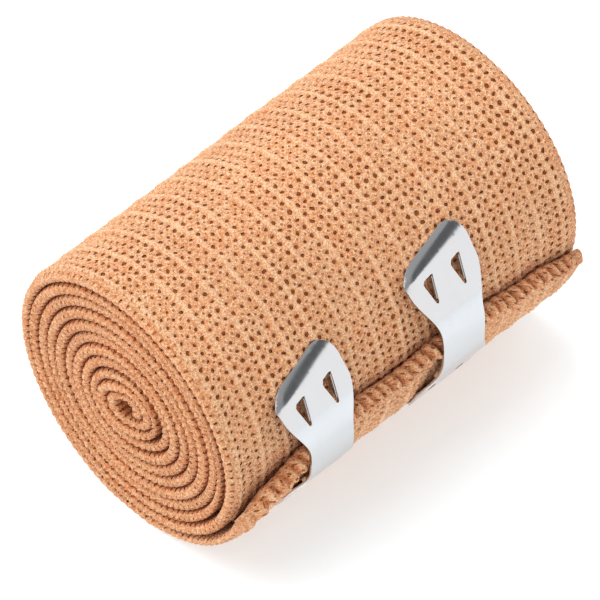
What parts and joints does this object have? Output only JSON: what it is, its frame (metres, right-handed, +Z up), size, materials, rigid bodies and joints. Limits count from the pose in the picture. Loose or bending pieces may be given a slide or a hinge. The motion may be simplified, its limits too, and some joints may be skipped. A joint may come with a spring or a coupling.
{
  "type": "crepe bandage roll with clips",
  "caption": "Stretch crepe bandage wound in a roll lying on its side, its thick hemmed end held on the front by toothed hourglass clips of bright steel.",
  "frame": {"origin": "middle of the whole part's footprint, on the surface that the roll rests on", "axes": "+X along the roll's axis, from the end with the open spiral towards the looser end; +Z up; the loose end and its clips are on the -Y side"},
  "size_m": [0.075, 0.054, 0.0514],
  "materials": {
    "crepe": "matt knitted stretch crepe",
    "steel": "bright polished sheet"
  },
  "bodies": {
    "root": {"roll": "crepe", "loose_end": "crepe", "clip_near": "steel", "clip_far": "steel"}
  },
  "joints": []
}
